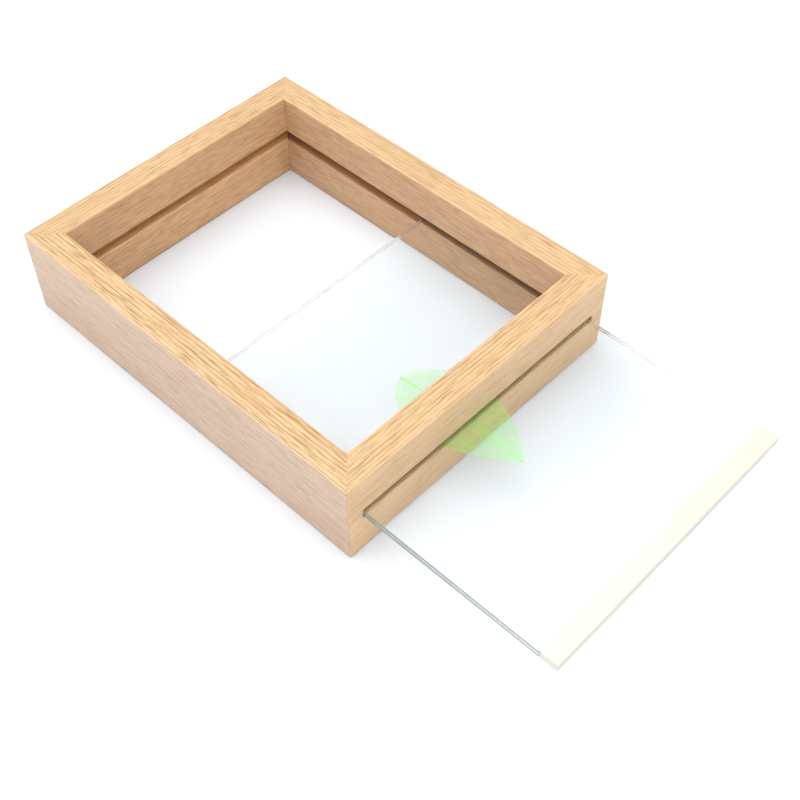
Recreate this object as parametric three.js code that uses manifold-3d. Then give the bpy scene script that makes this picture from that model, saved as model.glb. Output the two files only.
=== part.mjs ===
// A deep wooden frame with two panes of glass that slide in through a slot in one short
// rail. A dyed skeleton leaf is pressed between the panes, and a pale wooden strip along
// their outer edge fills the slot when they are pushed home. The panes are shown about
// half drawn out. Millimetres, +Z up: the frame lies flat, and the panes slide along +X.

import * as THREE from 'three';
import Module from 'manifold-3d';
import { mergeVertices } from 'three/addons/utils/BufferGeometryUtils.js';

// Wooden frame
const FRAME_LENGTH = 218;
const FRAME_WIDTH = 170;
const FRAME_HEIGHT = 48;
const RAIL_WIDTH = 14.3;
const ARRIS_RADIUS = 0.8;
const MITRE_GAP = 0.3;

// Groove round the inner faces, and the slot that carries it out through the end rail
const GROOVE_HEIGHT = 6;
const GROOVE_DEPTH = 5.6;
const SLOT_CORNER_RADIUS = 1.2;

// Two panes, a fraction of a millimetre apart, on the groove's floor
const PANE_LENGTH = 199;
const PANE_WIDTH = 150;
const PANE_THICKNESS = 1.9;
const PANE_SPACING = 0.5;
const PANE_CORNER_RADIUS = 0.8;
const PANE_ARRIS = 0.2;
const PANE_SIDE_SHIFT = -0.7;
const FLOOR_CLEARANCE = 0.3;

// Strip along the outer edge of the panes
const STRIP_WIDTH = 9;
const STRIP_CLEARANCE = 0.3;
const STRIP_EDGE_RADIUS = 1;
const STRIP_ARRIS = 0.4;
const GLUE_LINE = 0.1;

// How far the strip's outer face stands out from the frame
const DRAWN_OUT = 103.6;

// Leaf: stem end to tip along the midrib, placed from the frame's closed end and centre
const LEAF_LENGTH = 71.1;
const LEAF_HALF_WIDTH = 20;
const LEAF_WIDEST_POWER = 0.756;
const LEAF_FULLNESS = 0.85;
const LEAF_BOW = 2;
const BLADE_LEAN = 1.9;
const BLADE_LEAN_POWER = 0.25;
const LEAF_START_X = 178;
const LEAF_START_Y = -11.7;
const LEAF_TURN = 0.022;
const LEAF_MARGIN_STEPS = 26;
const BLADE_THICKNESS = 0.14;
const MIDRIB_THICKNESS = 0.3;
const MIDRIB_WIDTH = 1.3;
const MIDRIB_STEPS = 10;
const MIDRIB_END = 0.995;
const STEM_STUB = 0.6;

// Side veins. FIRST and LAST are where they leave the midrib, and LIMIT is the furthest
// that one ends; BEND is how far the curve's middle point lies along and across it.
const VEIN_THICKNESS = 0.22;
const VEIN_WIDTH = 0.45;
const VEIN_TIP_WIDTH = 0.225;
const VEIN_PAIRS = 9;
const VEIN_FIRST = 0.05;
const VEIN_LAST = 0.83;
const VEIN_LIMIT = 0.97;
const VEIN_FORWARD_REACH = 0.13;
const VEIN_SIDE_REACH = 0.88;
const VEIN_BEND_ALONG = 0.38;
const VEIN_BEND_ACROSS = 0.62;

// Faces of a rounded corner's quarter circle, and the points of a vein's curve
const CORNER_STEPS = 3;
const VEIN_STEPS = 4;

// Plain colours and shine; the finished look is given in the scene
const OAK = { color: 0xd9a873, roughness: 0.55, metalness: 0 };
const GLASS = { color: 0xdfeeea, roughness: 0.05, metalness: 0, transparent: true, opacity: 0.35 };
const DYED_LEAF = { color: 0x9ed45a, roughness: 0.7, metalness: 0 };
const PALE_WOOD = { color: 0xf3e7cf, roughness: 0.5, metalness: 0 };

const GROOVE_BOTTOM = (FRAME_HEIGHT - GROOVE_HEIGHT) / 2;
const GROOVE_TOP = GROOVE_BOTTOM + GROOVE_HEIGHT;
const SLOT_WIDTH = FRAME_WIDTH - 2 * (RAIL_WIDTH - GROOVE_DEPTH);
const STRIP_HEIGHT = GROOVE_HEIGHT - 2 * STRIP_CLEARANCE;
const STRIP_LENGTH = SLOT_WIDTH - 2 * STRIP_CLEARANCE;
const OVERALL_LENGTH = FRAME_LENGTH + DRAWN_OUT;
const PANE_BOTTOM = GROOVE_BOTTOM + FLOOR_CLEARANCE;
const UPPER_PANE_BOTTOM = PANE_BOTTOM + PANE_THICKNESS + PANE_SPACING;
const LEAF_Z = PANE_BOTTOM + PANE_THICKNESS + PANE_SPACING / 2;
const STRIP_START_X = OVERALL_LENGTH - STRIP_WIDTH;
const PANE_START_X = STRIP_START_X - GLUE_LINE - PANE_LENGTH;

// Turns a shape drawn out along Z so that it runs along X, with its x along Y and its y up.
const LIE_ALONG_X = new THREE.Matrix4().makeBasis(
  new THREE.Vector3(0, 1, 0),
  new THREE.Vector3(0, 0, 1),
  new THREE.Vector3(1, 0, 0),
);

const wasm = await Module();
wasm.setup();

// Booleans on closed meshes.

function toSolid(geometry) {
  const plain = geometry.clone();
  plain.deleteAttribute('normal');
  plain.deleteAttribute('uv');
  const merged = mergeVertices(plain, 1e-4);
  const vertProperties = new Float32Array(merged.attributes.position.array);
  const triVerts = new Uint32Array(merged.index.array);
  return new wasm.Manifold(new wasm.Mesh({ numProp: 3, vertProperties, triVerts }));
}

function toGeometry(solid) {
  const { vertProperties, triVerts } = solid.getMesh();
  const geometry = new THREE.BufferGeometry();
  geometry.setAttribute('position', new THREE.BufferAttribute(vertProperties, 3));
  geometry.setIndex(new THREE.BufferAttribute(triVerts, 1));
  geometry.computeVertexNormals();
  return geometry;
}

function roundedRectangle(width, height, radius) {
  const x = width / 2;
  const y = height / 2;
  const shape = new THREE.Shape();
  shape.moveTo(-x + radius, -y);
  shape.absarc(x - radius, -y + radius, radius, -Math.PI / 2, 0, false);
  shape.absarc(x - radius, y - radius, radius, 0, Math.PI / 2, false);
  shape.absarc(-x + radius, y - radius, radius, Math.PI / 2, Math.PI, false);
  shape.absarc(-x + radius, -y + radius, radius, Math.PI, 1.5 * Math.PI, false);
  return shape;
}

function named(name, geometry, finish) {
  const mesh = new THREE.Mesh(geometry, new THREE.MeshStandardMaterial(finish));
  mesh.name = name;
  return mesh;
}

// Rails. A section has u inwards from the outer face and v upwards from the base.

function railSection(grooved) {
  const r = ARRIS_RADIUS;
  const shape = new THREE.Shape();
  shape.moveTo(r, 0);
  shape.absarc(RAIL_WIDTH - r, r, r, -Math.PI / 2, 0, false);
  if (grooved) {
    shape.lineTo(RAIL_WIDTH, GROOVE_BOTTOM);
    shape.lineTo(RAIL_WIDTH - GROOVE_DEPTH, GROOVE_BOTTOM);
    shape.lineTo(RAIL_WIDTH - GROOVE_DEPTH, GROOVE_TOP);
    shape.lineTo(RAIL_WIDTH, GROOVE_TOP);
  }
  shape.absarc(RAIL_WIDTH - r, FRAME_HEIGHT - r, r, 0, Math.PI / 2, false);
  shape.absarc(r, FRAME_HEIGHT - r, r, Math.PI / 2, Math.PI, false);
  shape.absarc(r, r, r, Math.PI, 1.5 * Math.PI, false);
  return shape;
}

// The section is drawn out to the rail's full length, and each end is then set back by
// as much as a point lies inwards, which leaves a 45 degree mitre.
function mitredRail(length, grooved) {
  const geometry = new THREE.ExtrudeGeometry(railSection(grooved), {
    depth: length,
    bevelEnabled: false,
    curveSegments: CORNER_STEPS,
  });
  const position = geometry.attributes.position;
  const halfGap = (MITRE_GAP / 2) * Math.SQRT2;
  for (let i = 0; i < position.count; i += 1) {
    const setBack = position.getX(i) + halfGap;
    const atStart = position.getZ(i) < length / 2;
    position.setZ(i, atStart ? setBack : length - setBack);
  }
  geometry.applyMatrix4(LIE_ALONG_X);
  geometry.computeVertexNormals();
  return geometry;
}

// The end rail is plain inside, and the slot goes right through it. The cutter stands out
// by half the rail's width on both sides.
function slottedRail() {
  const rail = mitredRail(FRAME_WIDTH, false);
  const overshoot = RAIL_WIDTH / 2;
  const cutter = new THREE.ExtrudeGeometry(
    roundedRectangle(SLOT_WIDTH, GROOVE_HEIGHT, SLOT_CORNER_RADIUS),
    { depth: RAIL_WIDTH + 2 * overshoot, bevelEnabled: false, curveSegments: CORNER_STEPS },
  );
  cutter.rotateX(Math.PI / 2);
  cutter.translate(FRAME_WIDTH / 2, RAIL_WIDTH + overshoot, FRAME_HEIGHT / 2);
  return toGeometry(toSolid(rail).subtract(toSolid(cutter)));
}

function woodenFrame() {
  const frame = new THREE.Group();

  const front = named('rail_front', mitredRail(FRAME_LENGTH, true), OAK);
  front.position.set(0, -FRAME_WIDTH / 2, 0);

  const back = named('rail_back', mitredRail(FRAME_LENGTH, true), OAK);
  back.rotation.z = Math.PI;
  back.position.set(FRAME_LENGTH, FRAME_WIDTH / 2, 0);

  const closedEnd = named('rail_closed_end', mitredRail(FRAME_WIDTH, true), OAK);
  closedEnd.rotation.z = -Math.PI / 2;
  closedEnd.position.set(0, FRAME_WIDTH / 2, 0);

  const slottedEnd = named('rail_slotted_end', slottedRail(), OAK);
  slottedEnd.rotation.z = Math.PI / 2;
  slottedEnd.position.set(FRAME_LENGTH, -FRAME_WIDTH / 2, 0);

  frame.add(front, back, closedEnd, slottedEnd);
  return frame;
}

// Panes and strip.

function pane() {
  const outline = roundedRectangle(
    PANE_LENGTH - 2 * PANE_ARRIS,
    PANE_WIDTH - 2 * PANE_ARRIS,
    PANE_CORNER_RADIUS,
  );
  const geometry = new THREE.ExtrudeGeometry(outline, {
    depth: PANE_THICKNESS - 2 * PANE_ARRIS,
    bevelThickness: PANE_ARRIS,
    bevelSize: PANE_ARRIS,
    bevelSegments: 1,
    curveSegments: CORNER_STEPS,
  });
  geometry.translate(PANE_LENGTH / 2, 0, PANE_ARRIS);
  return geometry;
}

function endStrip() {
  const geometry = new THREE.ExtrudeGeometry(
    roundedRectangle(
      STRIP_LENGTH - 2 * STRIP_ARRIS,
      STRIP_HEIGHT - 2 * STRIP_ARRIS,
      STRIP_EDGE_RADIUS - STRIP_ARRIS,
    ),
    {
      depth: STRIP_WIDTH - 2 * STRIP_ARRIS,
      bevelThickness: STRIP_ARRIS,
      bevelSize: STRIP_ARRIS,
      bevelSegments: 2,
      curveSegments: CORNER_STEPS,
    },
  );
  geometry.applyMatrix4(LIE_ALONG_X);
  geometry.translate(STRIP_ARRIS, 0, 0);
  return geometry;
}

// Leaf. Along the midrib, s runs from 0 at the stem end to 1 at the tip.

function midribPoint(s) {
  return new THREE.Vector2(LEAF_LENGTH * s, LEAF_BOW * Math.sin(Math.PI * s));
}

// A point of the blade at s: on the midrib where across is 0, and on the two margins where
// it is -1 and +1. The margins lie evenly about a line that leans to the + side.
function bladePoint(s, across) {
  const fullness = Math.max(0, Math.sin(Math.PI * s ** LEAF_WIDEST_POWER)) ** LEAF_FULLNESS;
  const lean = BLADE_LEAN * Math.max(0, Math.sin(Math.PI * s)) ** BLADE_LEAN_POWER;
  const rib = midribPoint(s);
  const middle = THREE.MathUtils.lerp(rib.y, lean, Math.abs(across));
  return new THREE.Vector2(rib.x, middle + across * LEAF_HALF_WIDTH * fullness);
}

function bladeOutline() {
  const points = [midribPoint(0)];
  const place = (i) => 0.5 - 0.5 * Math.cos((Math.PI * i) / LEAF_MARGIN_STEPS);
  for (let i = 1; i < LEAF_MARGIN_STEPS; i += 1) {
    points.push(bladePoint(place(i), -1));
  }
  points.push(midribPoint(1));
  for (let i = LEAF_MARGIN_STEPS - 1; i > 0; i -= 1) {
    points.push(bladePoint(place(i), 1));
  }
  return new THREE.Shape(points);
}

function flatPiece(shape, thickness) {
  const geometry = new THREE.ExtrudeGeometry(shape, { depth: thickness, bevelEnabled: false });
  geometry.translate(0, 0, -thickness / 2);
  return toSolid(geometry);
}

// A rib is a strip of tapering width along a flat path.
function ribShape(path, startWidth, endWidth) {
  const left = [];
  const right = [];
  for (let i = 0; i < path.length; i += 1) {
    const before = path[Math.max(0, i - 1)];
    const after = path[Math.min(path.length - 1, i + 1)];
    const along = after.clone().sub(before).normalize();
    const half = THREE.MathUtils.lerp(startWidth, endWidth, i / (path.length - 1)) / 2;
    const across = new THREE.Vector2(-along.y, along.x).multiplyScalar(half);
    left.push(path[i].clone().add(across));
    right.unshift(path[i].clone().sub(across));
  }
  return new THREE.Shape([...left, ...right]);
}

function midrib() {
  const path = [new THREE.Vector2(-STEM_STUB, 0)];
  for (let i = 0; i <= MIDRIB_STEPS; i += 1) {
    path.push(midribPoint((MIDRIB_END * i) / MIDRIB_STEPS));
  }
  return flatPiece(ribShape(path, MIDRIB_WIDTH, VEIN_WIDTH), MIDRIB_THICKNESS);
}

// A side vein leaves the midrib and curves towards the tip, ending just inside the margin.
function sideVein(s, side) {
  const start = midribPoint(s);
  const end = Math.min(VEIN_LIMIT, s + VEIN_FORWARD_REACH);
  const tip = bladePoint(end, VEIN_SIDE_REACH * side);
  const bend = new THREE.Vector2(
    THREE.MathUtils.lerp(start.x, tip.x, VEIN_BEND_ALONG),
    THREE.MathUtils.lerp(start.y, tip.y, VEIN_BEND_ACROSS),
  );
  const path = new THREE.QuadraticBezierCurve(start, bend, tip).getPoints(VEIN_STEPS);
  return flatPiece(ribShape(path, VEIN_WIDTH, VEIN_TIP_WIDTH), VEIN_THICKNESS);
}

function leaf() {
  let solid = flatPiece(bladeOutline(), BLADE_THICKNESS).add(midrib());
  for (let i = 0; i < VEIN_PAIRS; i += 1) {
    const s = THREE.MathUtils.lerp(VEIN_FIRST, VEIN_LAST, i / (VEIN_PAIRS - 1));
    solid = solid.add(sideVein(s, 1)).add(sideVein(s, -1));
  }
  return toGeometry(solid);
}

function slidingGlass() {
  const glass = new THREE.Group();

  const lower = named('pane_lower', pane(), GLASS);
  lower.position.set(PANE_START_X, PANE_SIDE_SHIFT, PANE_BOTTOM);

  const upper = named('pane_upper', pane(), GLASS);
  upper.position.set(PANE_START_X, PANE_SIDE_SHIFT, UPPER_PANE_BOTTOM);

  const specimen = named('leaf', leaf(), DYED_LEAF);
  specimen.position.set(LEAF_START_X, LEAF_START_Y, LEAF_Z);
  specimen.rotation.z = LEAF_TURN;

  const strip = named('end_strip', endStrip(), PALE_WOOD);
  strip.position.set(STRIP_START_X, 0, FRAME_HEIGHT / 2);

  glass.add(lower, upper, specimen, strip);
  return glass;
}

const object = new THREE.Group();
object.add(woodenFrame(), slidingGlass());
object.position.x = -OVERALL_LENGTH / 2;

export default object;
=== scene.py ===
# %% [markdown]
# A deep oak picture frame lies flat on a pale table. Two panes of glass are half drawn out
# through a slot in its right-hand short rail, and a dyed skeleton leaf is pressed between
# them. The packed model holds the plain solids and says how the glass slides. This lesson
# dresses them: each rail, pane, strip and leaf becomes a finer surface in the same place.

# %% Load the frame
import math

import bmesh
import bpy
import numpy as np
from mathutils import Matrix, Vector


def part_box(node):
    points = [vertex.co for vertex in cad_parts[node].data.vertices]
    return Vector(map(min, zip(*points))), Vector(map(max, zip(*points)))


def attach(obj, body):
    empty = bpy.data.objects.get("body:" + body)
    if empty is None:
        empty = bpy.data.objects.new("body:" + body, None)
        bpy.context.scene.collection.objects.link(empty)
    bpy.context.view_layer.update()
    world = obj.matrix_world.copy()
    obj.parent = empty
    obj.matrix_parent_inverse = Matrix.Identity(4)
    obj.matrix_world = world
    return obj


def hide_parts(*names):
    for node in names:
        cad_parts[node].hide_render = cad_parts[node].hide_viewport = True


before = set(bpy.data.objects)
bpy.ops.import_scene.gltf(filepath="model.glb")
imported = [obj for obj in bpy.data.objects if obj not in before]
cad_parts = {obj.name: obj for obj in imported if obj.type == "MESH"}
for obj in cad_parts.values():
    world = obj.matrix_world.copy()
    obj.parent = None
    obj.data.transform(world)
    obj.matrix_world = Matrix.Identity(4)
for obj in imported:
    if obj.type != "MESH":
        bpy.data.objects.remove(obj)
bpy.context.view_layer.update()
MM = 0.001
rng = np.random.default_rng(20)
print("nodes:", sorted(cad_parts))

# %% [markdown]
# The camera looks down on one corner of the frame, as the photograph does. Its place was
# worked out from the frame's corners and edges, so it is a set of measured values: where
# it stands, which way it looks, how wide it sees and how little it leans.

# %% Camera
CAMERA_PLACE = (0.27448, -0.27994, 0.46045)
LOOK_AZIMUTH = 43.89
LOOK_DOWN = 50.57
LEAN = -0.278
FIELD_OF_VIEW = 35.119


def studio_camera():
    """A camera turned by azimuth about +Z, tipped down, then leaned about its own axis."""
    data = bpy.data.cameras.new("studio_camera")
    data.sensor_fit = "HORIZONTAL"
    data.angle = math.radians(FIELD_OF_VIEW)
    data.clip_start = 0.01
    camera = bpy.data.objects.new("studio_camera", data)
    bpy.context.collection.objects.link(camera)
    turn = Matrix.Rotation(math.radians(LOOK_AZIMUTH), 4, "Z")
    tip = Matrix.Rotation(math.radians(90 - LOOK_DOWN), 4, "X")
    lean = Matrix.Rotation(math.radians(LEAN), 4, "Z")
    camera.matrix_world = Matrix.Translation(CAMERA_PLACE) @ turn @ tip @ lean
    bpy.context.scene.camera = camera
    return camera


camera = studio_camera()
print("camera looks along", [round(v, 3) for v in camera.matrix_world.to_3x3() @ Vector((0, 0, -1))])

# %% [markdown]
# Every piece below is a grid of points: one parameter runs round a section, the other
# runs along the piece. These helpers turn such arrays into meshes, give them a material
# and hand them to the body that they move with. Keeping them in one place means that a
# piece's own cell only has to say what its shape is.

# %% Mesh helpers


def mesh_object(name, points, faces, smooth_angle=35):
    """An object from points in millimetres and lists of point numbers."""
    mesh = bpy.data.meshes.new(name)
    mesh.from_pydata((np.asarray(points) * MM).tolist(), [], faces)
    mesh.validate()
    mesh.update()
    mesh.shade_smooth()
    mesh.set_sharp_from_angle(angle=math.radians(smooth_angle))
    piece = bpy.data.objects.new(name, mesh)
    bpy.context.collection.objects.link(piece)
    return piece


def tube_faces(stations, around, first=0):
    """Quads of a closed tube: ring i joins ring i + 1, and each ring joins up with itself."""
    i, j = np.meshgrid(np.arange(stations - 1), np.arange(around), indexing="ij")
    k = (j + 1) % around
    quads = np.stack([i * around + j, i * around + k, (i + 1) * around + k, (i + 1) * around + j], -1)
    return (quads.reshape(-1, 4) + first).tolist()


def capped_tube(points, first=0):
    """Faces of a tube of rings (stations, around, 3) with a flat cap at each end."""
    stations, around = points.shape[:2]
    faces = tube_faces(stations, around, first)
    faces.append(list(range(first + around - 1, first - 1, -1)))
    last = first + (stations - 1) * around
    faces.append(list(range(last, last + around)))
    return faces


def face_outwards(piece):
    """Recalculates the normals of a closed mesh so that they point outwards."""
    work = bmesh.new()
    work.from_mesh(piece.data)
    bmesh.ops.remove_doubles(work, verts=work.verts, dist=1e-7)
    bmesh.ops.recalc_face_normals(work, faces=work.faces)
    work.to_mesh(piece.data)
    work.free()


def dress(piece, material, body, node):
    """Gives a finished piece its material and its body, and hides the solid it stands for."""
    piece.data.materials.clear()
    piece.data.materials.append(material)
    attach(piece, body)
    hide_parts(node)
    triangles = sum(len(p.vertices) - 2 for p in piece.data.polygons)
    print(piece.name, "has", triangles, "triangles")


print("a capped tube of 3 rings of 4 points has", len(capped_tube(np.zeros((3, 4, 3)))), "faces")

# %% [markdown]
# Materials are node trees. A small helper adds a node, sets its values and wires its
# inputs in one call, so that the recipes below read as recipes.

# %% Node helper


class Recipe:
    """A material whose nodes are added one call at a time."""

    def __init__(self, name):
        self.material = bpy.data.materials.new(name)
        self.material.use_nodes = True
        self.tree = self.material.node_tree
        self.tree.nodes.clear()

    def node(self, kind, settings=None, **inputs):
        """Adds a node. An input is a value, or the socket that feeds it."""
        made = self.tree.nodes.new(kind)
        for key, value in (settings or {}).items():
            setattr(made, key, value)
        for key, value in inputs.items():
            self.put(made, key.replace("_", " "), value)
        return made

    def put(self, node, socket, value):
        """Sets one input by its name, or by its number written as i0, i1 and so on."""
        by_number = socket[0] == "i" and socket[1:].isdigit()
        target = node.inputs[int(socket[1:])] if by_number else node.inputs[socket]
        if isinstance(value, bpy.types.NodeSocket):
            self.tree.links.new(value, target)
        else:
            target.default_value = value

    def math(self, operation, a, b=0.0, c=0.0):
        """One sum on one, two or three numbers."""
        return self.node("ShaderNodeMath", {"operation": operation}, i0=a, i1=b, i2=c).outputs[0]

    def place(self):
        """The place on the piece, in metres."""
        return self.node("ShaderNodeTexCoord").outputs["Object"]

    def noise(self, vector, scale, detail, roughness):
        """Soft random cloud, from 0 to 1."""
        sizes = {"Scale": scale, "Detail": detail, "Roughness": roughness}
        return self.node("ShaderNodeTexNoise", Vector=vector, **sizes).outputs["Fac"]

    def stretched_noise(self, vector, per_metre, detail, roughness):
        """Noise with its own fineness along each axis, so that it grows long one way."""
        vector = self.node("ShaderNodeMapping", Vector=vector, Scale=per_metre).outputs[0]
        return self.noise(vector, 1.0, detail, roughness)

    def ramp(self, value, stops, smooth=False):
        """Numbers to greys or colours by a list of (place, colour)."""
        made = self.node("ShaderNodeValToRGB", Fac=value)
        made.color_ramp.interpolation = "EASE" if smooth else "LINEAR"
        steps = made.color_ramp.elements
        while len(steps) < len(stops):
            steps.new(1.0)
        for step, (place, colour) in zip(steps, stops):
            step.position = place
            step.color = (*colour, 1.0) if isinstance(colour, tuple) else (colour,) * 3 + (1.0,)
        return made.outputs["Color"]

    def mix(self, how, amount, a, b):
        """Blends two colours."""
        made = self.node("ShaderNodeMix", {"data_type": "RGBA", "blend_type": how, "clamp_factor": True})
        self.put(made, "i0", amount)
        self.put(made, "i6", a)
        self.put(made, "i7", b)
        return made.outputs[2]

    def finish(self, shader, volume=None):
        """Joins the last shader to the output."""
        out = self.node("ShaderNodeOutputMaterial")
        self.put(out, "Surface", shader.outputs[0])
        if volume:
            self.put(out, "Volume", volume.outputs[0])
        return self.material


print("recipe steps:", [step for step in vars(Recipe) if not step.startswith("_")])

# %% [markdown]
# Oak shows three things at this distance: growth rings about 2 mm apart, which are straight
# dark lines on the top of a rail and nearly vanish on its sides; open pores, which are short
# dark dashes along the grain; and a fine streaky fibre. A picture of wood would be quicker,
# but a pattern worked out from the place inside the rail carries on round every corner and
# into the groove, as the real board does. Each rail is cut from its own stretch of board, so
# each gets its own place in the pattern. The top is golden. The sides get painted light by
# face: the outer sides are painted lighter and bluer, the inner sides lighter. The floor of the
# groove gets painted light on the closed and slotted rails and painted shade on the back rail,
# and the rounded arris gets a painted highlight. This painted light and shade make up for light
# that this plain room doesn't copy, so they are set for the look and not measured.

# %% Oak
RINGS_PER_METRE = 470
BEND, WOBBLE = 2.0, 0.22
MIDDLE_GREY = (0.66, 0.66, 0.66, 1)
SIDE_GRAIN_OUTSIDE, SIDE_GRAIN_INSIDE = 0.38, 0.65
GROOVE_FLOOR, GROOVE_FLOOR_REACH = 0.021, 0.003
# How strong the painted highlight on the rounded arris is.
ARRIS_HIGHLIGHT = 0.3


def facing(wood, along_y, outward):
    """How much a face looks up, out of the frame or into it, each from 0 to 1."""
    normal = wood.node("ShaderNodeTexCoord").outputs["Normal"]
    parts = wood.node("ShaderNodeSeparateXYZ", Vector=normal)
    up = wood.math("ABSOLUTE", parts.outputs["Z"])
    side = wood.math("MULTIPLY", parts.outputs["X" if along_y else "Y"], outward)
    outer = wood.math("MAXIMUM", side, 0.0)
    inner = wood.math("MAXIMUM", wood.math("MULTIPLY", side, -1.0), 0.0)
    return up, outer, inner


def ring_lines(wood, board):
    """Rings are the fractional part of depth / spacing, bent by slow noise along the grain."""
    parts = wood.node("ShaderNodeSeparateXYZ", Vector=board)
    slow = wood.stretched_noise(board, (4, 35, 35), 2.0, 0.5)
    wobble = wood.stretched_noise(board, (16, 300, 300), 3.0, 0.55)
    depth = wood.math("MULTIPLY", parts.outputs["Y"], RINGS_PER_METRE)
    depth = wood.math("MULTIPLY_ADD", slow, BEND, depth)
    depth = wood.math("MULTIPLY_ADD", wobble, WOBBLE, depth)
    dark_band = [(0.0, 0.45), (0.10, 0.0), (0.22, 0.05), (0.42, 0.80), (0.85, 1.0), (1.0, 0.45)]
    line = wood.ramp(wood.math("FRACT", depth), dark_band)
    broken = wood.ramp(wood.stretched_noise(board, (24, 680, 680), 2.0, 0.6), [(0.40, 0.40), (0.58, 1.0)])
    return wood.mix("MIX", broken, (0.80, 0.80, 0.80, 1), line)


def grain_of(wood, board, line, fibre, top, inner):
    """From 0, dark, to 1, light: rings, streaks and fibre on top, a quieter mix on the sides."""
    streak = wood.stretched_noise(board, (26, 1150, 1150), 3.0, 0.65)
    streak = wood.ramp(streak, [(0.36, 0.0), (0.50, 0.70), (0.64, 1.0)])
    fibre_shade = wood.ramp(fibre, [(0.36, 0.0), (0.62, 1.0)])
    top_grain = wood.mix("MIX", 0.30, line, streak)
    top_grain = wood.mix("MIX", 0.25, top_grain, fibre_shade)
    side_grain = wood.mix("MIX", 0.55, streak, fibre_shade)
    shown = wood.math("MULTIPLY_ADD", inner, SIDE_GRAIN_INSIDE - SIDE_GRAIN_OUTSIDE, SIDE_GRAIN_OUTSIDE)
    side_grain = wood.mix("MIX", shown, MIDDLE_GREY, side_grain)
    return wood.mix("MIX", top, side_grain, top_grain)


def pores_of(wood, board, top):
    """Short dark dashes, strongest on top."""
    pores = wood.ramp(wood.stretched_noise(board, (85, 1900, 1900), 1.0, 0.5), [(0.57, 0.0), (0.64, 1.0)])
    return wood.math("MULTIPLY", pores, wood.math("MULTIPLY_ADD", top, 0.45, 0.5))


def groove_floor(wood, place, top):
    """1 on the upward face at the bottom of the groove, 0 elsewhere: where the groove floor's painted light
    and shade go.
    """
    height = wood.node("ShaderNodeSeparateXYZ", Vector=place).outputs["Z"]
    level = wood.math("COMPARE", height, GROOVE_FLOOR, GROOVE_FLOOR_REACH)
    return wood.math("MULTIPLY", level, top)


def oak(name, along_y, outward, board_place, oak_and_painted_light, contrast):
    """One rail's wood: the grain at its place in the board, then painted light and shade by face."""
    light, dark, outer_painted_light, inner_painted_light, groove_painted_light = oak_and_painted_light
    wood = Recipe(name)
    place = wood.place()
    turn = (0, 0, -math.pi / 2 if along_y else 0)
    board = wood.node("ShaderNodeMapping", Vector=place, Location=board_place, Rotation=turn).outputs[0]
    up, outer, inner = facing(wood, along_y, outward)
    top = wood.math("POWER", up, 2.0)
    strength = wood.math("MULTIPLY_ADD", inner, 1.0 - contrast, contrast)

    line = ring_lines(wood, board)
    fibre = wood.stretched_noise(board, (170, 2700, 2700), 3.0, 0.6)
    grain = wood.mix("MIX", strength, MIDDLE_GREY, grain_of(wood, board, line, fibre, top, inner))
    pores = wood.math("MULTIPLY", pores_of(wood, board, top), strength)
    colour = wood.mix("MIX", grain, (*dark, 1), (*light, 1))
    colour = wood.mix("MIX", pores, colour, (*dark, 1))
    # Painted light: the outer and inner sides are made lighter, and the outer ones bluer too.
    colour = wood.mix("MULTIPLY", outer, colour, (*outer_painted_light, 1))
    colour = wood.mix("MULTIPLY", inner, colour, (*inner_painted_light, 1))
    # Painted light on the groove floor; on the back rail it is painted shade.
    colour = wood.mix("MULTIPLY", groove_floor(wood, place, top), colour, (*groove_painted_light, 1))
    cloud = wood.stretched_noise(board, (12, 55, 55), 2.0, 0.5)
    cloud = wood.ramp(cloud, [(0.3, (0.92, 0.89, 0.85)), (0.7, (1.0, 1.0, 1.0))])
    colour = wood.mix("MULTIPLY", 0.7, colour, cloud)
    # Painted highlight: the rounded arris is drawn towards the light oak.
    arris = wood.ramp(up, [(0.06, 0.0), (0.35, 1.0), (0.90, 1.0), (0.995, 0.0)])
    colour = wood.mix("MIX", wood.math("MULTIPLY", arris, ARRIS_HIGHLIGHT), colour, (*light, 1))

    relief = wood.math("ADD", fibre, line)
    bump = wood.node("ShaderNodeBump", Strength=0.3, Distance=0.0001, Height=relief).outputs[0]
    rough = wood.ramp(fibre, [(0.2, 0.46), (0.8, 0.62)])
    shader = wood.node("ShaderNodeBsdfPrincipled", Base_Color=colour, Roughness=rough, Normal=bump)
    shader.inputs["Specular IOR Level"].default_value = 0.4
    return wood.finish(shader)


LIGHT, DARK = (0.595, 0.413, 0.224), (0.277, 0.143, 0.0485)
PALER, DARKER = (0.575, 0.395, 0.213), (0.268, 0.137, 0.0465)
# Each set: the top's light and dark oak, then painted light for the outer sides and for the inner sides,
# then painted light on the groove floor, which is painted shade on the back rail.
FRONT_OAK_AND_PAINTED_LIGHT = (LIGHT, DARK, (1.14, 1.25, 1.82), (1.18, 1.10, 1.15), (1.0, 1.0, 1.0))
BACK_OAK_AND_PAINTED_LIGHT = (PALER, DARKER, (1.13, 1.22, 1.60), (1.25, 1.21, 1.38), (0.82, 0.66, 0.62))
CLOSED_OAK_AND_PAINTED_LIGHT = (PALER, DARKER, (1.13, 1.22, 1.55), (1.42, 1.34, 1.41), (1.55, 1.40, 1.30))
SLOT_OAK_AND_PAINTED_LIGHT = (LIGHT, DARK, (1.39, 1.42, 1.62), (1.18, 1.10, 1.15), (1.15, 1.10, 1.05))
oak_front = oak("oak_front", False, -1, (0.31, 0.012, 0.07), FRONT_OAK_AND_PAINTED_LIGHT, 1.0)
oak_back = oak("oak_back", False, 1, (0.77, 0.151, 0.02), BACK_OAK_AND_PAINTED_LIGHT, 0.6)
oak_closed = oak("oak_closed_end", True, -1, (1.21, 0.043, 0.05), CLOSED_OAK_AND_PAINTED_LIGHT, 0.75)
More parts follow.
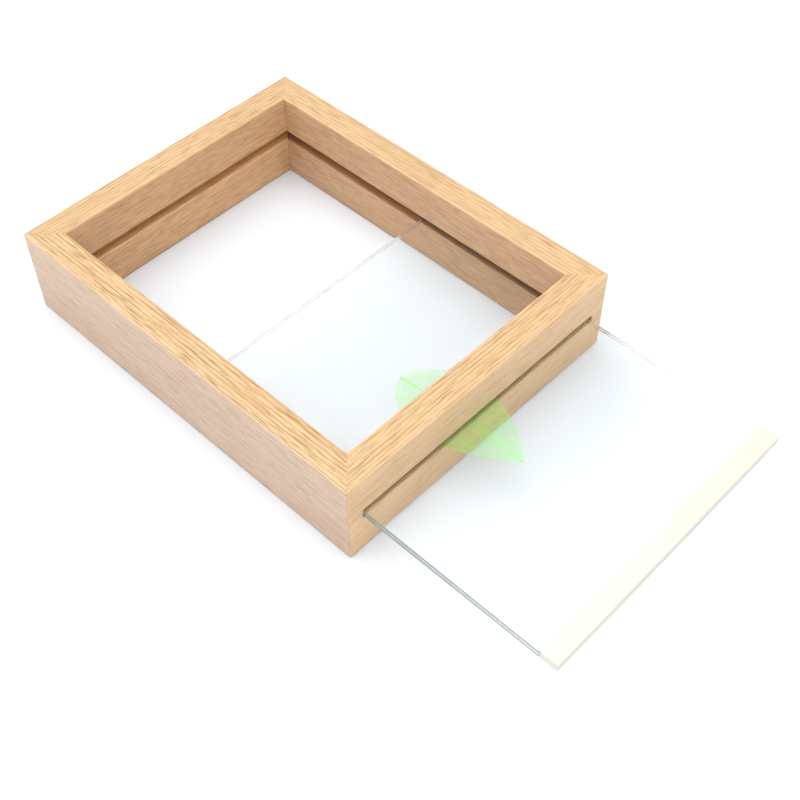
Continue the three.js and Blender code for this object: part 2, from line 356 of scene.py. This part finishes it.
oak_slotted = oak("oak_slotted_end", True, 1, (1.63, 0.087, 0.09), SLOT_OAK_AND_PAINTED_LIGHT, 0.8)
print("oak recipes:", [m.name for m in bpy.data.materials if m.name.startswith("oak")])

# %% [markdown]
# A rail is one section carried along a straight line. The section is a tall rectangle with
# softened corners and, on three rails, a groove on its inner side. It could be a cube with
# a bevel, but as a section every corner is where the maker's tools leave it: the arris is
# rounded by hand, so its radius wanders a little, and each end is set back by as much as a
# point lies inwards, which is what a 45 degree mitre is. Where two rails meet at an outer
# corner the tip is rubbed round, as a small part of a ball.

# %% Rail section
RAIL_WIDTH = 14.3
FRAME_HEIGHT = 48.0
GROOVE_HEIGHT = 6.0
GROOVE_DEPTH = 5.6
ARRIS = 0.8
TIP_RADIUS = 0.8
LIP = 0.22
MITRE_GAP = 0.03
SLOT_CORNER = 1.2
MOUTH_FLARE = 0.25


def section_points(grooved):
    """Points (inwards, up) as a + r * b, where r is the arris radius at that station."""
    turns = np.linspace(0, math.pi / 2, 7)
    a, b = [], []

    def arc(corner_u, corner_h, start):
        for turn in turns:
            along = start + turn
            a.append((corner_u, corner_h))
            toward = (1 if corner_u == 0 else -1, 1 if corner_h == 0 else -1)
            b.append((toward[0] + math.cos(along), toward[1] + math.sin(along)))

    def side(start, end, pieces):
        for step in np.linspace(0, 1, pieces + 1)[1:-1]:
            a.append((start[0] + (end[0] - start[0]) * step, start[1] + (end[1] - start[1]) * step))
            b.append((0, 0))

    def corner(u, h):
        a.append((u, h))
        b.append((0, 0))

    w, t = RAIL_WIDTH, FRAME_HEIGHT
    low = (t - GROOVE_HEIGHT) / 2
    high = low + GROOVE_HEIGHT
    floor = w - GROOVE_DEPTH
    side((ARRIS, 0), (w - ARRIS, 0), 4)
    arc(w, 0, -math.pi / 2)
    if grooved:
        side((w, ARRIS), (w, low - LIP), 5)
        corner(w, low - LIP)
        corner(w - LIP, low)
        corner(floor, low)
        corner(floor, high)
        corner(w - LIP, high)
        corner(w, high + LIP)
        side((w, high + LIP), (w, t - ARRIS), 5)
    else:
        side((w, ARRIS), (w, t - ARRIS), 10)
    arc(w, t, 0)
    side((w - ARRIS, t), (ARRIS, t), 4)
    arc(0, t, math.pi / 2)
    side((0, t - ARRIS), (0, ARRIS), 10)
    arc(0, 0, math.pi)
    return np.array(a), np.array(b)


def stations_from_end(length):
    """Distances from a rail's end to its middle, close together near the mitre."""
    near = np.array([0.0, 0.1, 0.22, 0.36, 0.52, 0.7, 0.9, 1.2, 1.7, 2.6])
    steps = max(2, round((length / 2 - near[-1]) / 2.5))
    return np.concatenate([near, np.linspace(near[-1], length / 2, steps + 1)[1:]])


def rail_surface(length, grooved, seed):
    """Rings of (inwards, along, up): along = set back + distance * (half - set back) / half."""
    a, b = section_points(grooved)
    half = length / 2
    distance = stations_from_end(length)
    both = np.concatenate([distance, length - distance[-2::-1]])
    wander = np.interp(both, np.linspace(0, length, 18), np.random.default_rng(seed).normal(0, 0.07, 18))
    fade = np.clip(np.minimum(both, length - both) / 6, 0, 1)
    radius = ARRIS + wander * fade
    u = a[None, :, 0] + radius[:, None] * b[None, :, 0]
    h = a[None, :, 1] + radius[:, None] * b[None, :, 1]
    from_end = np.minimum(both, length - both)[:, None]
    set_back = u + MITRE_GAP / 2 * math.sqrt(2)
    along = set_back + from_end * (half - set_back) / half

    ball = np.clip(TIP_RADIUS - u, 0, None)
    in_tip = (u < TIP_RADIUS) & (along < TIP_RADIUS)
    away = np.stack([u - TIP_RADIUS, along - TIP_RADIUS], -1)
    reach = np.maximum(np.linalg.norm(away, axis=-1), 1e-9)
    u = np.where(in_tip, TIP_RADIUS + ball * away[..., 0] / reach, u)
    along = np.where(in_tip, TIP_RADIUS + ball * away[..., 1] / reach, along)
    along = np.where(both[:, None] > half, length - along, along)
    return np.stack([u, along, h], -1)


print("a grooved section has", len(section_points(True)[0]), "points")

# %% [markdown]
# The four rails are the same surface, turned into place. Front and back run along X, the
# two ends along Y. The places come from the solids, so nothing here has to be fitted.

# %% Lay the rails
frame_low = np.array(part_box("rail_closed_end")[0]) / MM
FRAME_LENGTH = 218.0
FRAME_WIDTH = 170.0
x_left = frame_low[0]
x_right = x_left + FRAME_LENGTH
y_front = -FRAME_WIDTH / 2


def lay(surface, side):
    """Turns (inwards, along, up) into the frame's own (x, y, z) for one side."""
    u, along, h = surface[..., 0], surface[..., 1], surface[..., 2]
    place = {
        "front": (x_left + along, y_front + u),
        "back": (x_right - along, -y_front - u),
        "closed": (x_left + u, -y_front - along),
        "slotted": (x_right - u, y_front + along),
    }[side]
    return np.stack([place[0], place[1], h], -1)


def rail(name, side, length, grooved, seed):
    """One rail as a closed tube of sections with flat mitred ends."""
    points = lay(rail_surface(length, grooved, seed), side)
    piece = mesh_object(name, points.reshape(-1, 3), capped_tube(points))
    face_outwards(piece)
    return piece


front = rail("oak_rail_front", "front", FRAME_LENGTH, True, 1)
back = rail("oak_rail_back", "back", FRAME_LENGTH, True, 2)
closed = rail("oak_rail_closed_end", "closed", FRAME_WIDTH, True, 3)
slotted = rail("oak_rail_slotted_end", "slotted", FRAME_WIDTH, False, 4)
print("rails from x", round(x_left, 2), "to", round(x_right, 2))

# %% [markdown]
# The slot is milled right through the fourth rail, level with the grooves. Working out a
# surface with a hole through it by hand is possible, but the honest way is the maker's:
# leave the rail whole and cut it with a tool of the slot's shape. The cutter is a long
# rounded bar whose outer end flares a little, which eases the slot's mouth.

# %% Cut the slot


def rounded_bar(half_width, half_height, radius, steps=6):
    """Outline of a rounded rectangle in (across, up), anticlockwise."""
    turns = np.linspace(0, math.pi / 2, steps)
    rows = []
    for quarter, (sx, sy) in enumerate([(1, -1), (1, 1), (-1, 1), (-1, -1)]):
        angle = turns + (quarter - 1) * math.pi / 2
        across = sx * (half_width - radius) + radius * np.cos(angle)
        up = sy * (half_height - radius) + radius * np.sin(angle)
        rows.append(np.stack([across, up], -1))
    return np.concatenate(rows)


def slot_cutter():
    """Rings of the rounded bar along X, as (x from the outer face, growth of the outline)."""
    half_width = FRAME_WIDTH / 2 - (RAIL_WIDTH - GROOVE_DEPTH)
    half_height = GROOVE_HEIGHT / 2
    behind, flare = -8.0 - RAIL_WIDTH, MOUTH_FLARE
    rings = []
    for x, grow in ((behind, 0.0), (-flare, 0.0), (-0.08, flare * 0.45), (0.0, flare), (1.0, 4 * flare)):
        outline = rounded_bar(half_width + grow, half_height + grow, SLOT_CORNER + grow)
        ring_x = np.full(len(outline), x_right + x)
        rings.append(np.column_stack([ring_x, outline[:, 0], FRAME_HEIGHT / 2 + outline[:, 1]]))
    points = np.stack(rings)
    cutter = mesh_object("slot_cutter", points.reshape(-1, 3), capped_tube(points))
    face_outwards(cutter)
    return cutter


def cut(piece, cutter):
    """Takes the cutter's shape out of the piece and keeps the result as its mesh."""
    tool = piece.modifiers.new("slot", "BOOLEAN")
    tool.operation = "DIFFERENCE"
    tool.solver = "EXACT"
    tool.object = cutter
    bpy.context.view_layer.update()
    done = bpy.data.meshes.new_from_object(piece.evaluated_get(bpy.context.evaluated_depsgraph_get()))
    piece.modifiers.clear()
    piece.data = done
    piece.data.set_sharp_from_angle(angle=math.radians(35))
    bpy.data.objects.remove(cutter)


cut(slotted, slot_cutter())
dress(front, oak_front, "frame", "rail_front")
dress(back, oak_back, "frame", "rail_back")
dress(closed, oak_closed, "frame", "rail_closed_end")
dress(slotted, oak_slotted, "frame", "rail_slotted_end")

# %% [markdown]
# Clear float glass lets nearly all light through its faces, but a ray that travels along
# inside it loses red and blue, which is what absorption inside the volume does. The edges of
# a real pane are ground dull and look grey-green. Rough glass would be the direct way, but
# light that is reflected dozens of times inside a pane is cut off, so its edges turn black.
# Here each pane is a polished slab with a thin dull skin just outside its edges. Seen from
# inside, the polished edge mirrors the faces, hides the skin and nearly vanishes, as the
# edges of the real panes do. Seen from outside, the skin shows.

# %% Glass
SEAM = 0.05
SKIN_REACH = 0.05
SKIN_THICKNESS = 0.04
PANE_CORNER = 0.8


def glass(name):
    """Polished and clear, with a green that only shows through a great depth of it."""
    clear = Recipe(name)
    shader = clear.node("ShaderNodeBsdfPrincipled")
    shader.inputs["Base Color"].default_value = (1, 1, 1, 1)
    shader.inputs["Roughness"].default_value = 0.0
    shader.inputs["Transmission Weight"].default_value = 1.0
    shader.inputs["IOR"].default_value = 1.5
    depth = clear.node("ShaderNodeVolumeAbsorption")
    depth.inputs["Color"].default_value = (0.52, 0.85, 0.79, 1)
    depth.inputs["Density"].default_value = 12.0
    return clear.finish(shader, depth)


def ground_edge(name):
    """Dull grey-green, with the grinding wheel's fine specks."""
    dull = Recipe(name)
    specks = dull.noise(dull.place(), 900.0, 2.0, 0.6)
    colour = dull.ramp(specks, [(0.3, (0.265, 0.29, 0.28)), (0.7, (0.31, 0.345, 0.33))])
    shader = dull.node("ShaderNodeBsdfPrincipled", Base_Color=colour)
    shader.inputs["Roughness"].default_value = 0.5
    return dull.finish(shader)


def pane_outline(middle, half, inset, z):
    """The pane's rounded outline at height z, drawn in by the inset."""
    outline = rounded_bar(half[0] - inset, half[1] - inset, PANE_CORNER)
    return np.column_stack([middle[:2] + outline, np.full(len(outline), z)])


def pane(name, node):
    """A flat slab with seamed edges, and round it the thin dull skin left by the grinding.

    Returns the piece and the number of faces of the slab, which come first.
    """
    low, high = (np.array(v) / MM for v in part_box(node))
    middle, half = (low + high) / 2, (high - low) / 2
    bottom, top = low[2] + SEAM, high[2] - SEAM
    face, edge = SKIN_REACH + SEAM, SKIN_REACH
    slab = [(face, low[2]), (edge, bottom), (edge, top), (face, high[2])]
    skin = [(0.0, bottom), (0.0, top), (SKIN_THICKNESS, top), (SKIN_THICKNESS, bottom), (0.0, bottom)]
    slab = np.stack([pane_outline(middle, half, *ring) for ring in slab])
    skin = np.stack([pane_outline(middle, half, *ring) for ring in skin])
    faces = capped_tube(slab)
    slab_faces = len(faces)
    faces += tube_faces(len(skin), skin.shape[1], slab.shape[0] * slab.shape[1])
    points = np.concatenate([slab.reshape(-1, 3), skin.reshape(-1, 3)])
    piece = mesh_object(name, points, faces, smooth_angle=30)
    face_outwards(piece)
    return piece, slab_faces


def finish_pane(name, node, clear, dull):
    """Builds a pane and gives the slab the clear glass and the skin the dull one."""
    piece, slab_faces = pane(name, node)
    dress(piece, clear, "glass", node)
    piece.data.materials.append(dull)
    for face in piece.data.polygons[slab_faces:]:
        face.material_index = 1


clear_glass = glass("clear_glass")
dull_edge = ground_edge("ground_glass_edge")
finish_pane("glass_pane_lower", "pane_lower", clear_glass, dull_edge)
finish_pane("glass_pane_upper", "pane_upper", clear_glass, dull_edge)

# %% [markdown]
# The strip along the glass is a pale, close-grained wood, almost white in strong light.
# It is a plain planed bar with its edges eased, so it is the same rounded outline again,
# carried along X with its two ends drawn in.

# %% End strip
STRIP_EASE = 0.45
STRIP_CORNER = 1.0


def pale_wood(name):
    """Faint straight fibre along Y on a cream ground."""
    wood = Recipe(name)
    place = wood.place()
    fibre = wood.stretched_noise(place, (2200, 45, 2200), 4.0, 0.6)
    cloud = wood.stretched_noise(place, (160, 12, 160), 2.0, 0.5)
    cloud = wood.ramp(cloud, [(0.3, (0.93, 0.90, 0.84)), (0.7, (1.0, 1.0, 1.0))])
    tan, cream, pale = (0.47, 0.44, 0.37), (0.52, 0.505, 0.44), (0.545, 0.535, 0.48)
    colour = wood.ramp(fibre, [(0.25, tan), (0.55, cream), (0.80, pale)])
    colour = wood.mix("MULTIPLY", 0.5, colour, cloud)
    bump = wood.node("ShaderNodeBump", Strength=0.25, Distance=0.0001, Height=fibre).outputs[0]
    shader = wood.node("ShaderNodeBsdfPrincipled", Base_Color=colour, Normal=bump)
    shader.inputs["Roughness"].default_value = 0.5
    return wood.finish(shader)


def end_strip(name, node):
    """The rounded outline in (y, z) carried along X, drawn in by a quarter circle at both faces."""
    low, high = (np.array(v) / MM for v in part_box(node))
    middle, half = (low + high) / 2, (high - low) / 2
    turn = np.linspace(0, math.pi / 2, 5)
    inset = STRIP_EASE * (1 - np.sin(turn))
    across = STRIP_EASE * (1 - np.cos(turn))
    xs = np.concatenate([low[0] + across, high[0] - across[::-1]])
    insets = np.concatenate([inset, inset[::-1]])
    shape = []
    for x, drawn_in in zip(xs, insets):
        outline = rounded_bar(half[1] - drawn_in, half[2] - drawn_in, STRIP_CORNER)
        shape.append(np.column_stack([np.full(len(outline), x), middle[1:] + outline]))
    points = np.stack(shape)
    piece = mesh_object(name, points.reshape(-1, 3), capped_tube(points))
    face_outwards(piece)
    return piece


strip = end_strip("pale_end_strip", "end_strip")
dress(strip, pale_wood("pale_wood"), "glass", "end_strip")

# %% [markdown]
# A skeleton leaf is what is left when the soft tissue is washed away: a midrib, side veins
# that curve towards the tip, cross veins between them and a fine net that fills the rest,
# dyed a bright green. A see-through picture on a flat card would do from afar, but the net
# is the thing's whole character, so every vein here is a real strand. The outline follows
# one formula: half width = full * sin(pi * s ** fullest) ** roundness, s along the midrib.

# %% Leaf outline
LEAF_LENGTH = 71.1
LEAF_HALF_WIDTH = 20.0
LEAF_FULLEST = 0.756
LEAF_ROUNDNESS = 0.85
LEAF_BOW = 2.0
BLADE_LEAN = 1.9
LEAN_SPREAD = 0.25
LEAF_TURN = 0.022
LEAF_START = (x_left + 178.0, -11.7)


def midrib_at(s):
    """The midrib's place: straight along, with a slow bow to one side."""
    s = np.asarray(s, float)
    return np.stack([LEAF_LENGTH * s, LEAF_BOW * np.clip(np.sin(math.pi * s), 0, 1)], -1)


def half_width_at(s):
    """Half the blade's width at s."""
    s = np.clip(np.asarray(s, float), 0, 1)
    return LEAF_HALF_WIDTH * np.clip(np.sin(math.pi * s**LEAF_FULLEST), 0, 1) ** LEAF_ROUNDNESS


def blade_at(s, v):
    """A place on the blade: s along the midrib, v from -1 to 1 across it.

    The blade's own middle leans to one side, by BLADE_LEAN * sin(pi * s) ** LEAN_SPREAD.
    """
    rib = midrib_at(s)
    lean = BLADE_LEAN * np.clip(np.sin(math.pi * np.asarray(s, float)), 0, 1) ** LEAN_SPREAD
    side = np.abs(v)
    return np.stack([rib[..., 0], (1 - side) * rib[..., 1] + side * lean + half_width_at(s) * v], -1)


leaf_low, leaf_high = (np.array(v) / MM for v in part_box("leaf"))
leaf_level = (leaf_low[2] + leaf_high[2]) / 2
print("leaf lies at", round(leaf_level, 2), "mm and has", round(leaf_high[2] - leaf_low[2], 2), "mm of room")

# %% [markdown]
# Veins are six-sided strands that thin out along their way. The fine net between them is a
# honeycomb with its corners shaken, since real net cells have mostly five or six sides and
# no two are alike. It has thousands of edges, so each is a bar with only three sides.

# %% Leaf strands
NET_CELL = 0.62
NET_WIDTH, NET_HEIGHT = 0.062, 0.06
NET_SHAKE = 0.13


def ribs(path, widths, thickness):
    """A strand of six-sided section along a flat path, with width from widths."""
    path = np.asarray(path, float)
    ahead = np.gradient(path, axis=0)
    ahead /= np.linalg.norm(ahead, axis=1)[:, None]
    across = np.stack([-ahead[:, 1], ahead[:, 0]], -1)
    turn = np.arange(6) * math.pi / 3
    offset = np.cos(turn)[None, :, None] * across[:, None, :] * (np.asarray(widths) / 2)[:, None, None]
    flat = path[:, None, :] + offset
    height = np.minimum(thickness, np.asarray(widths)) / 2
    up = np.broadcast_to(np.sin(turn)[None, :] * height[:, None], flat.shape[:2])
    return np.concatenate([flat, up[..., None]], -1)


def net_edges(cell):
    """Edges of a honeycomb with shaken corners, kept where they lie on the blade."""
    dx, dy = cell * math.sqrt(3) / 2, cell * 1.5 / math.sqrt(3)
    columns = int(LEAF_LENGTH / cell) + 4
    rows = int(2.4 * LEAF_HALF_WIDTH / dy) + 4
    i, j = np.meshgrid(np.arange(columns), np.arange(rows), indexing="ij")
    x = (i + 0.5 * (j % 2)) * cell - cell
    y = (j - rows / 2) * dy + 1.0
    radius = cell / math.sqrt(3)
    top = np.stack([x, y + radius / 2], -1)
    low = np.stack([x, y - radius / 2], -1)
    top = top + rng.normal(0, cell * NET_SHAKE, top.shape)
    low = low + rng.normal(0, cell * NET_SHAKE, low.shape)
    left = i + np.where(j % 2 == 1, 0, -1)
    right = left + 1
    pairs = [np.stack([top, low], 2).reshape(-1, 2, 2)]
    for neighbour in (left, right):
        good = (j + 1 < rows) & (neighbour >= 0) & (neighbour < columns)
        upper = low[neighbour[good], (j + 1)[good]]
        pairs.append(np.stack([top[good], upper], 1))
    edges = np.concatenate(pairs)
    middle = edges.mean(1)
    s = middle[:, 0] / LEAF_LENGTH
    inside = (s > 0.004) & (s < 0.995)
    across = np.abs(middle[:, 1] - midrib_at(np.clip(s, 0, 1))[:, 1])
    return edges[inside & (across < half_width_at(s) - 0.1)]


def net_strands(edges, width, height):
    """Each edge as a slim three-sided bar: two points below, one above, at both ends."""
    start, end = edges[:, 0], edges[:, 1]
    ahead = end - start
    ahead /= np.maximum(np.linalg.norm(ahead, axis=1), 1e-9)[:, None]
    start, end = start - ahead * width * 0.3, end + ahead * width * 0.3
    across = np.stack([-ahead[:, 1], ahead[:, 0]], -1) * width / 2
    low, high = -height / 2, height / 2
    count = len(edges)
    points = np.zeros((count, 6, 3))
    points[:, 0, :2], points[:, 1, :2], points[:, 2, :2] = start - across, start + across, start
    points[:, 3, :2], points[:, 4, :2], points[:, 5, :2] = end - across, end + across, end
    points[:, :, 2] = [low, low, high, low, low, high]
    base = (np.arange(count) * 6)[:, None]
    threes = np.concatenate([base + [0, 1, 2], base + [3, 5, 4]]).tolist()
    fours = np.concatenate([base + [0, 3, 4, 1], base + [1, 4, 5, 2], base + [2, 5, 3, 0]]).tolist()
    return points.reshape(-1, 3), threes + fours


net = net_edges(NET_CELL)
print("the net has", len(net), "strands")

# %% [markdown]
# Each side vein leaves the midrib steeply and bends towards the tip, as a curve with one
# bend point. Short cross veins join neighbours like rungs, and a last strand follows the
# margin on each side. All strands are joined in one mesh, since the leaf grew as one piece.

# %% Leaf assembly
VEIN_COUNT = 13
VEIN_FIRST, VEIN_SPAN = 0.035, 0.83
VEIN_AHEAD, VEIN_LIMIT = 0.13, 0.975
VEIN_REACH, MARGIN_REACH = 0.96, 0.985
BEND_ALONG, BEND_ACROSS = 0.38, 0.62
VEIN_STEPS = 9
RUNG_SPACING = 2.3
MIDRIB_WIDTHS = [1.3, 0.9, 0.42, 0.38, 0.7]


def side_vein(s, side):
    """From the midrib at s, bending towards the tip, to just inside the margin."""
    end = min(VEIN_LIMIT, s + VEIN_AHEAD)
    start, tip = midrib_at(s), blade_at(end, VEIN_REACH * side)
    bend = start + np.array([BEND_ALONG, BEND_ACROSS]) * (tip - start)
    t = np.linspace(0, 1, VEIN_STEPS)[:, None]
    return start * (1 - t) ** 2 + 2 * bend * t * (1 - t) + tip * t**2


def cross_veins(s0, s1, side, count):
    """Short veins from one side vein to the next, a little bowed."""
    first, second = side_vein(s0, side), side_vein(s1, side)
    along = np.linspace(0, 1, VEIN_STEPS)
    out = []
    for place in (np.arange(count) + 0.5 + rng.uniform(-0.2, 0.2, count)) / count:
        a = np.array([np.interp(place, along, first[:, k]) for k in (0, 1)])
        b = np.array([np.interp(min(1, place + 0.05), along, second[:, k]) for k in (0, 1)])
        t = np.linspace(0, 1, 5)[:, None]
        bow = np.array([-(b - a)[1], (b - a)[0]]) * rng.uniform(-0.12, 0.12)
        out.append(a * (1 - t) + b * t + bow * np.sin(math.pi * t))
    return out


def midrib():
    """The midrib with its stem end, thick at the base and again at the very tip."""
    spine = np.concatenate([[[-0.6, 0.0], [-0.3, 0.0]], midrib_at(np.linspace(0, 0.998, 40))])
    last = len(spine) - 1
    widths = np.interp(np.arange(last + 1), [0, 4, 8, last - 5, last], MIDRIB_WIDTHS)
    return ribs(spine, widths, 0.3)


def leaf_half(side):
    """Side veins, cross veins and margin of one half of the leaf."""
    tubes = []
    places = VEIN_FIRST + VEIN_SPAN * np.linspace(0, 1, VEIN_COUNT)
    for place in places:
        path = side_vein(place, side)
        tubes.append(ribs(path, np.linspace(0.22, 0.12, len(path)), 0.14))
    for s0, s1 in zip(places[:-1], places[1:]):
        reach = float(half_width_at((s0 + s1) / 2))
        for path in cross_veins(s0, s1, side, max(2, int(reach / RUNG_SPACING))):
            tubes.append(ribs(path, np.full(len(path), 0.11), 0.09))
    margin = blade_at(0.5 - 0.5 * np.cos(np.linspace(0, math.pi, 70)), MARGIN_REACH * side)
    tubes.append(ribs(margin, np.full(len(margin), 0.20), 0.14))
    return tubes


def leaf_strands():
    """Every strand of the leaf in its own flat frame: points and faces."""
    tubes = [midrib()] + leaf_half(1) + leaf_half(-1)
    points, faces, count = [], [], 0
    for tube in tubes:
        points.append(tube.reshape(-1, 3))
        faces += capped_tube(tube, count)
        count += tube.shape[0] * tube.shape[1]
    net_points, net_faces = net_strands(net, NET_WIDTH, NET_HEIGHT)
    points.append(net_points)
    faces += [[n + count for n in face] for face in net_faces]
    return np.concatenate(points), faces


def place_leaf(points):
    """Turns the leaf by its small angle and sets it between the panes."""
    c, s = math.cos(LEAF_TURN), math.sin(LEAF_TURN)
    x = LEAF_START[0] + c * points[:, 0] - s * points[:, 1]
    y = LEAF_START[1] + s * points[:, 0] + c * points[:, 1]
    return np.stack([x, y, leaf_level + points[:, 2]], -1)


def leaf_green(name):
    """Bright dyed green, a little yellower in patches."""
    dye = Recipe(name)
    patch = dye.noise(dye.place(), 90.0, 3.0, 0.6)
    deep, middle, yellow = (0.20, 0.72, 0.06), (0.25, 0.77, 0.08), (0.30, 0.80, 0.10)
    colour = dye.ramp(patch, [(0.3, deep), (0.55, middle), (0.75, yellow)])
    shader = dye.node("ShaderNodeBsdfPrincipled", Base_Color=colour)
    shader.inputs["Roughness"].default_value = 0.6
    return dye.finish(shader)


leaf_points, leaf_faces = leaf_strands()
leaf = mesh_object("skeleton_leaf", place_leaf(leaf_points), leaf_faces, smooth_angle=60)
dress(leaf, leaf_green("leaf_green"), "glass", "leaf")

# %% [markdown]
# The table is a pale sheet. Under strong light it is burnt out to white except close round the
# frame, so the sheet is painted paler further out and darker close round the frame: painted
# light and painted shade. The light is a white room with three soft patches: a strong one
# overhead, one from the left for the front rail and a weak one from the right for the slotted
# rail. They are part of the room and not lamps, because light from a lamp would not pass
# through the clear panes. blur_glossy, which softens reflected and bent light to quieten the
# picture, is off, since it made everything under the glass too dark.

# %% Floor and light
FLOOR_SIZE = 12.0
FLOOR_DROP = 0.0002
SHADE_FROM, SHADE_TO = 0.15, 0.22
NEAR_SHEET, FAR_SHEET = (0.58, 0.59, 0.61), (0.84, 0.85, 0.86)
OVERHEAD = ((0.0, 0.0, 1.0), 7.3, 12.0)
FROM_THE_LEFT = ((-1.0, -0.5, 0.9), 2.05, 6.0)
FROM_THE_RIGHT = ((1.0, -0.6, 0.6), 0.67, 3.0)


def floor():
    """A wide square under the frame, a hair below its base."""
    mesh = bpy.data.meshes.new("floor")
    corners = [(x * FLOOR_SIZE, y * FLOOR_SIZE, 0) for x, y in ((-1, -1), (1, -1), (1, 1), (-1, 1))]
    mesh.from_pydata(corners, [], [(0, 1, 2, 3)])
    piece = bpy.data.objects.new("floor", mesh)
    piece.location.z = -FLOOR_DROP
    bpy.context.collection.objects.link(piece)
    sheet = Recipe("white_sheet")
    centre = ((x_left + FRAME_LENGTH / 2) * MM, 0, 0)
    away = sheet.node("ShaderNodeVectorMath", {"operation": "DISTANCE"}, i0=sheet.place(), i1=centre)
    # Painted light and shade: the sheet is darker close round the frame and paler further out.
    shade = sheet.ramp(away.outputs["Value"], [(SHADE_FROM, NEAR_SHEET), (SHADE_TO, FAR_SHEET)], smooth=True)
    shader = sheet.node("ShaderNodeBsdfPrincipled", Base_Color=shade)
    shader.inputs["Roughness"].default_value = 0.9
    shader.inputs["Specular IOR Level"].default_value = 0.1
    mesh.materials.append(sheet.finish(shader))


def white_room(colour, base, softboxes):
    """Strength by direction: base + sum of strength * max(direction . toward, 0) ** focus."""
    world = bpy.data.worlds.new("white_room")
    world.use_nodes = True
    tree = world.node_tree
    place = tree.nodes.new("ShaderNodeTexCoord").outputs["Generated"]

    def sum_of(operation, a, b, c=0.0):
        made = tree.nodes.new("ShaderNodeMath")
        made.operation = operation
        for socket, value in zip(made.inputs, (a, b, c)):
            if isinstance(value, bpy.types.NodeSocket):
                tree.links.new(value, socket)
            else:
                socket.default_value = value
        return made.outputs[0]

    total = base
    for toward, strength, focus in softboxes:
        lean = tree.nodes.new("ShaderNodeVectorMath")
        lean.operation = "DOT_PRODUCT"
        lean.inputs[1].default_value = Vector(toward).normalized()
        tree.links.new(place, lean.inputs[0])
        lobe = sum_of("POWER", sum_of("MAXIMUM", lean.outputs["Value"], 0.0), focus)
        total = sum_of("MULTIPLY_ADD", lobe, strength, total)
    sky = tree.nodes["Background"]
    sky.inputs["Color"].default_value = (*colour, 1)
    tree.links.new(total, sky.inputs["Strength"])
    bpy.context.scene.world = world


floor()
white_room((0.96, 0.985, 1.0), 0.62, [OVERHEAD, FROM_THE_LEFT, FROM_THE_RIGHT])
bpy.context.scene.cycles.blur_glossy = 0.0
bpy.context.scene.view_settings.view_transform = "Standard"
bpy.context.scene.view_settings.look = "None"
print("world:", bpy.context.scene.world.name)

# %% [markdown]
